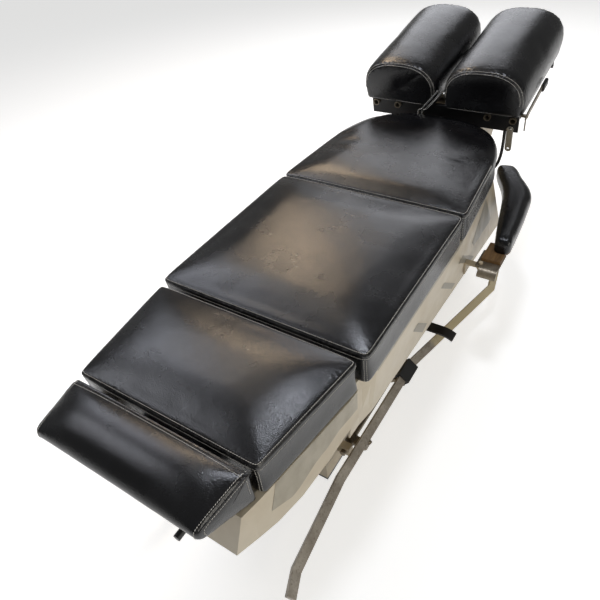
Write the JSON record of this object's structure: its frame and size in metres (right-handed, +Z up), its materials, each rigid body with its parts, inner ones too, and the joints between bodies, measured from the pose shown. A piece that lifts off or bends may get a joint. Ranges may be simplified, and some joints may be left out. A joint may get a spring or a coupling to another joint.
{
  "type": "chiropractic table",
  "caption": "Chiropractic treatment table with split head cushions, dropping pelvic section, flexing leg section, swinging arm rests and foot bars on a beige pedestal.",
  "frame": {"origin": "the middle of the base plate's underside, on the floor, below the gap between the chest and pelvic cushions", "axes": "+Z up, +Y along the table towards the head rest, +X across it to the right of a patient who lies face down"},
  "size_m": [0.716, 1.8587, 0.7844],
  "materials": {
    "black_upholstery": "semi-gloss black vinyl with a fine grain",
    "beige_shell": "satin beige moulding",
    "beige_paint": "satin beige paint",
    "black_paint": "satin black paint",
    "worn_steel": "worn steel with a faint brown tint",
    "bright_steel": "bright plated rod",
    "brown_steel": "dark brown worn paint",
    "plywood": "bare plywood",
    "brown_board": "brown stained board",
    "bronze": "dull bronze bush",
    "black_rubber": "matte black rubber",
    "black_plastic": "matte black moulding"
  },
  "bodies": {
    "table_base": {"base_plate": "black_paint", "pedestal": "beige_paint", "bed_frame": "black_paint", "chest_board": "plywood", "chest_cushion": "black_upholstery", "shell_right": "beige_shell", "shell_left": "beige_shell", "shell_front": "beige_shell", "shell_brackets": "black_paint", "neck_plates": "beige_paint", "neck_spacers": "black_paint", "neck_cover": "beige_paint", "tilt_bushes": "bronze", "actuator_bracket": "black_paint", "pedestal_brackets": "beige_paint", "armrest_brackets": "beige_paint", "control_cable": "black_rubber", "cable_glands": "black_plastic"},
    "pelvic_section": {"pelvic_board": "plywood", "pelvic_cushion": "black_upholstery", "drop_posts": "worn_steel"},
    "leg_section": {"leg_frame": "black_paint", "leg_pins": "worn_steel", "leg_board": "plywood", "leg_cushion": "black_upholstery", "leg_shell": "beige_shell"},
    "ankle_section": {"foot_board": "plywood", "foot_cushion": "black_upholstery", "foot_tubes": "worn_steel", "foot_bracket": "black_paint"},
    "ankle_lever": {"foot_lever": "black_paint"},
    "flexion_tube": {"actuator_tube": "worn_steel", "actuator_motor": "black_plastic"},
    "flexion_rod": {"actuator_rod": "worn_steel"},
    "head_frame": {"tilt_shaft": "worn_steel", "tilt_arms": "black_paint", "head_end_plates": "black_paint", "head_tubes": "worn_steel", "paper_rods": "bright_steel"},
    "strap_link": {"hanging_link": "worn_steel"},
    "head_carriage": {"carriage_blocks": "black_paint", "head_boards": "black_paint", "head_cushion_right": "black_upholstery", "head_cushion_left": "black_upholstery"},
    "tilt_lever": {"head_lever": "worn_steel", "head_lever_grip": "black_plastic"},
    "armrest_right": {"armrest_pad_right": "black_upholstery", "armrest_board_right": "brown_board", "armrest_plate_right": "worn_steel"},
    "armrest_left": {"armrest_pad_left": "black_upholstery", "armrest_board_left": "brown_board", "armrest_plate_left": "worn_steel"},
    "foot_bar_right_set": {"foot_bar_right": "worn_steel", "bar_sleeve_right": "black_rubber", "bar_rocker_right": "worn_steel"},
    "foot_bar_left_set": {"foot_bar_left": "worn_steel", "bar_sleeve_left": "black_rubber", "bar_rocker_left": "worn_steel"},
    "pedal": {"side_pedal": "brown_steel"}
  },
  "joints": [
    {"name": "pelvic_drop", "type": "slide", "parent": "table_base", "child": "pelvic_section", "axis": [0, 0, 1], "range_m": [0, 0.012]},
    {"name": "leg_flexion", "type": "hinge", "parent": "table_base", "child": "leg_section", "pos_m": [0, -0.5285, 0.45], "axis": [1, 0, 0], "range_deg": [0, 25]},
    {"name": "ankle_slide", "type": "slide", "parent": "leg_section", "child": "ankle_section", "axis": [0, -1, 0], "range_m": [0, 0.12]},
    {"name": "ankle_release", "type": "hinge", "parent": "ankle_section", "child": "ankle_lever", "pos_m": [0.14, -0.8865, 0.48187], "axis": [-1, 0, 0], "range_deg": [0, 15], "stiffness_Nm_per_rad": 2, "springref_deg": -5.73},
    {"name": "flexion_tube_tilt", "type": "hinge", "parent": "table_base", "child": "flexion_tube", "pos_m": [0, -0.198, 0.405], "axis": [1, 0, 0], "range_deg": [-1, 3]},
    {"name": "flexion_rod_stroke", "type": "slide", "parent": "flexion_tube", "child": "flexion_rod", "axis": [0, 1, 0], "range_m": [0, 0.023]},
    {"name": "head_tilt", "type": "hinge", "parent": "table_base", "child": "head_frame", "pos_m": [0, 0.5995, 0.57], "axis": [1, 0, 0], "range_deg": [-30, 6]},
    {"name": "head_slide", "type": "slide", "parent": "head_frame", "child": "head_carriage", "axis": [0, 0.989, 0.1478], "range_m": [0, 0.08]},
    {"name": "tilt_release", "type": "hinge", "parent": "head_carriage", "child": "tilt_lever", "pos_m": [0.256, 0.50853, 0.59685], "axis": [1, 0, 0], "range_deg": [0, 15], "stiffness_Nm_per_rad": 3, "springref_deg": -8.59},
    {"name": "strap_swing", "type": "hinge", "parent": "head_frame", "child": "strap_link", "pos_m": [0.223, 0.52131, 0.54517], "axis": [0, 0.989, 0.1478], "range_deg": [-25, 25]},
    {"name": "armrest_right_swing", "type": "hinge", "parent": "table_base", "child": "armrest_right", "pos_m": [0.297, 0.108, 0.33], "axis": [0, 0, -1], "range_deg": [0, 45]},
    {"name": "armrest_left_swing", "type": "hinge", "parent": "table_base", "child": "armrest_left", "pos_m": [-0.297, 0.108, 0.33], "axis": [0, 0, 1], "range_deg": [0, 45]},
    {"name": "foot_bar_right_press", "type": "hinge", "parent": "table_base", "child": "foot_bar_right_set", "pos_m": [0.158, -0.3, 0.072], "axis": [0, 1, 0], "range_deg": [0, 6], "stiffness_Nm_per_rad": 120, "springref_deg": -5.73},
    {"name": "foot_bar_left_press", "type": "hinge", "parent": "table_base", "child": "foot_bar_left_set", "pos_m": [-0.158, -0.3, 0.072], "axis": [0, -1, 0], "range_deg": [0, 6], "stiffness_Nm_per_rad": 120, "springref_deg": -5.73},
    {"name": "pedal_press", "type": "hinge", "parent": "table_base", "child": "pedal", "pos_m": [0.183, -0.1, 0.152], "axis": [-1, 0, 0], "range_deg": [0, 10], "stiffness_Nm_per_rad": 10, "springref_deg": -6.88}
  ],
  "couplings": [
    {"joint": "flexion_tube_tilt", "follows": "leg_flexion", "ratio": 0.07},
    {"joint": "flexion_rod_stroke", "follows": "leg_flexion", "m_per_rad": 0.04952}
  ]
}
